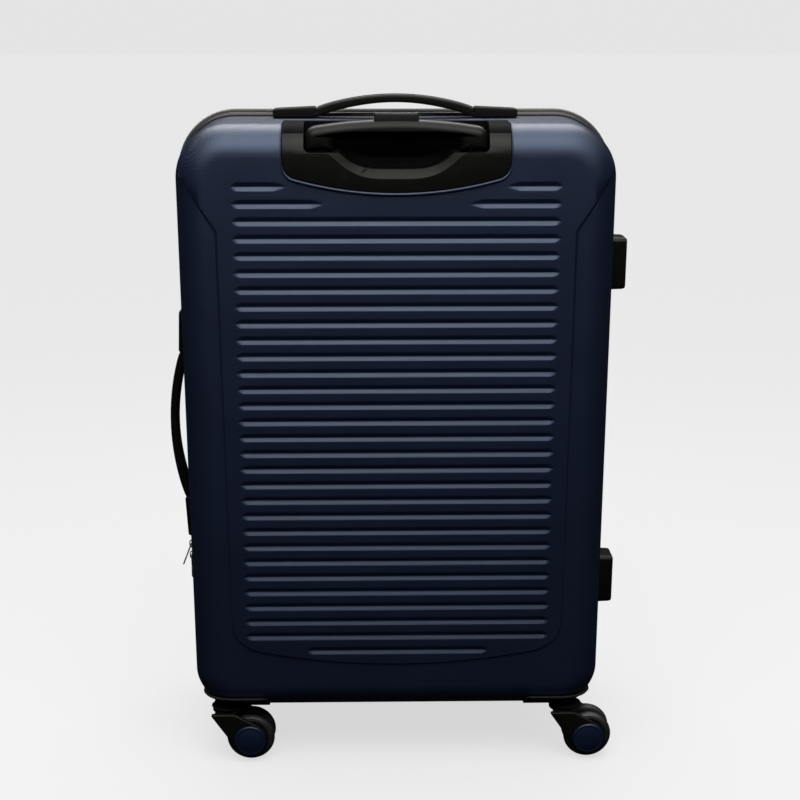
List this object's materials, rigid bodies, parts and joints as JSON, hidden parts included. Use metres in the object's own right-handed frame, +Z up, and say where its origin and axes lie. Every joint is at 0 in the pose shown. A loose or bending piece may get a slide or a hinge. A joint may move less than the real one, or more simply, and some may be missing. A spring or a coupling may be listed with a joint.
{
  "type": "hard shell suitcase on wheels",
  "caption": "Upright two-shell hard suitcase with a telescopic trolley handle, carry handles and swivelling twin-wheel casters; it opens like a book.",
  "frame": {"origin": "on the ground under the middle of the object's bounding box", "axes": "+Z up, the trolley side faces -Y, the side carry handle is on -X and the side feet on +X"},
  "size_m": [0.508, 0.2808, 0.743],
  "materials": {
    "shell": "fine cross-hatched grain",
    "black_plastic": "satin moulded",
    "gloss_trim": "glossy extruded edge trim",
    "zip_fabric": "woven zip tape",
    "tube": "anodised tube",
    "steel": "satin metal",
    "tyre": "smooth tread",
    "lining": "woven polyester lining"
  },
  "bodies": {
    "case_back": {"back_shell": "shell", "back_trim": "gloss_trim", "back_zip_tape": "zip_fabric", "fabric_hinge": "zip_fabric", "trolley_bezel": "black_plastic", "trolley_outer_tube_left": "tube", "trolley_outer_tube_right": "tube", "trolley_foot_bracket": "black_plastic", "top_handle_cap_left": "black_plastic", "top_handle_cap_right": "black_plastic", "side_handle_cap_lower": "black_plastic", "side_handle_cap_upper": "black_plastic", "side_foot_upper": "black_plastic", "side_foot_lower": "black_plastic", "caster_back_left_housing": "black_plastic", "caster_back_right_housing": "black_plastic", "back_lining": "lining", "packing_straps": "lining", "strap_buckle": "black_plastic"},
    "case_front": {"front_shell": "shell", "front_trim": "gloss_trim", "front_zip_tape": "zip_fabric", "front_lining": "lining", "mesh_divider": "lining", "caster_front_left_housing": "black_plastic", "caster_front_right_housing": "black_plastic"},
    "trolley_middle_stage": {"trolley_middle_tube_left": "tube", "trolley_middle_tube_right": "tube"},
    "trolley_handle": {"trolley_inner_tube_left": "tube", "trolley_inner_tube_right": "tube", "trolley_grip": "black_plastic"},
    "trolley_button": {"trolley_button": "black_plastic"},
    "top_handle": {"top_handle_strap": "black_plastic"},
    "side_handle": {"side_handle_strap": "black_plastic"},
    "zip_slider_upper": {"zip_slider_upper": "steel"},
    "zip_pull_upper": {"zip_pull_upper": "steel"},
    "zip_slider_lower": {"zip_slider_lower": "steel"},
    "zip_pull_lower": {"zip_pull_lower": "steel"},
    "caster_back_left": {"caster_back_left_fork": "black_plastic", "caster_back_left_axle": "steel", "caster_back_left_hub_cap": "shell"},
    "caster_back_left_wheels": {"caster_back_left_wheel_outer": "tyre", "caster_back_left_wheel_inner": "tyre"},
    "caster_back_right": {"caster_back_right_fork": "black_plastic", "caster_back_right_axle": "steel", "caster_back_right_hub_cap": "shell"},
    "caster_back_right_wheels": {"caster_back_right_wheel_outer": "tyre", "caster_back_right_wheel_inner": "tyre"},
    "caster_front_left": {"caster_front_left_fork": "black_plastic", "caster_front_left_axle": "steel", "caster_front_left_hub_cap": "shell"},
    "caster_front_left_wheels": {"caster_front_left_wheel_outer": "tyre", "caster_front_left_wheel_inner": "tyre"},
    "caster_front_right": {"caster_front_right_fork": "black_plastic", "caster_front_right_axle": "steel", "caster_front_right_hub_cap": "shell"},
    "caster_front_right_wheels": {"caster_front_right_wheel_outer": "tyre", "caster_front_right_wheel_inner": "tyre"}
  },
  "joints": [
    {"name": "case_opening", "type": "hinge", "parent": "case_back", "child": "case_front", "pos_m": [0.2455, 0, 0.39075], "axis": [0, 0, -1], "range_deg": [0, 165]},
    {"name": "trolley_middle_slide", "type": "slide", "parent": "case_back", "child": "trolley_middle_stage", "axis": [0, 0, 1], "range_m": [0, 0.19]},
    {"name": "trolley_handle_slide", "type": "slide", "parent": "trolley_middle_stage", "child": "trolley_handle", "axis": [0, 0, 1], "range_m": [0, 0.19]},
    {"name": "trolley_button_press", "type": "slide", "parent": "trolley_handle", "child": "trolley_button", "axis": [0, 0, -1], "range_m": [0, 0.0035], "stiffness_N_per_m": 300},
    {"name": "top_handle_lift", "type": "slide", "parent": "case_back", "child": "top_handle", "axis": [0, 0, 1], "range_m": [0, 0.004], "stiffness_N_per_m": 250},
    {"name": "side_handle_lift", "type": "slide", "parent": "case_back", "child": "side_handle", "axis": [-1, 0, 0], "range_m": [0, 0.004], "stiffness_N_per_m": 250},
    {"name": "zip_slider_upper_run", "type": "slide", "parent": "case_back", "child": "zip_slider_upper", "axis": [0, 0, 1], "range_m": [0, 0.4]},
    {"name": "zip_pull_upper_swing", "type": "hinge", "parent": "zip_slider_upper", "child": "zip_pull_upper", "pos_m": [-0.2407, 0, 0.223], "axis": [0, 1, 0], "range_deg": [0, 120]},
    {"name": "zip_slider_lower_run", "type": "slide", "parent": "case_back", "child": "zip_slider_lower", "axis": [0, 0, -1], "range_m": [0, 0.075]},
    {"name": "zip_pull_lower_swing", "type": "hinge", "parent": "zip_slider_lower", "child": "zip_pull_lower", "pos_m": [-0.2407, 0, 0.209], "axis": [0, 1, 0], "range_deg": [0, 20]},
    {"name": "caster_back_left_swivel", "type": "hinge", "parent": "case_back", "child": "caster_back_left", "pos_m": [-0.1925, -0.1115, 0.0597], "axis": [0, 0, 1], "continuous": true},
    {"name": "caster_back_left_roll", "type": "hinge", "parent": "caster_back_left", "child": "caster_back_left_wheels", "pos_m": [-0.1665, -0.1115, 0.0275], "axis": [0, 1, 0], "continuous": true},
    {"name": "caster_back_right_swivel", "type": "hinge", "parent": "case_back", "child": "caster_back_right", "pos_m": [0.1985, -0.1115, 0.0597], "axis": [0, 0, 1], "continuous": true},
    {"name": "caster_back_right_roll", "type": "hinge", "parent": "caster_back_right", "child": "caster_back_right_wheels", "pos_m": [0.2245, -0.1115, 0.0275], "axis": [0, 1, 0], "continuous": true},
    {"name": "caster_front_left_swivel", "type": "hinge", "parent": "case_front", "child": "caster_front_left", "pos_m": [-0.1925, 0.1115, 0.0597], "axis": [0, 0, 1], "continuous": true},
    {"name": "caster_front_left_roll", "type": "hinge", "parent": "caster_front_left", "child": "caster_front_left_wheels", "pos_m": [-0.1665, 0.1115, 0.0275], "axis": [0, 1, 0], "continuous": true},
    {"name": "caster_front_right_swivel", "type": "hinge", "parent": "case_front", "child": "caster_front_right", "pos_m": [0.1985, 0.1115, 0.0597], "axis": [0, 0, 1], "continuous": true},
    {"name": "caster_front_right_roll", "type": "hinge", "parent": "caster_front_right", "child": "caster_front_right_wheels", "pos_m": [0.2245, 0.1115, 0.0275], "axis": [0, 1, 0], "continuous": true}
  ]
}
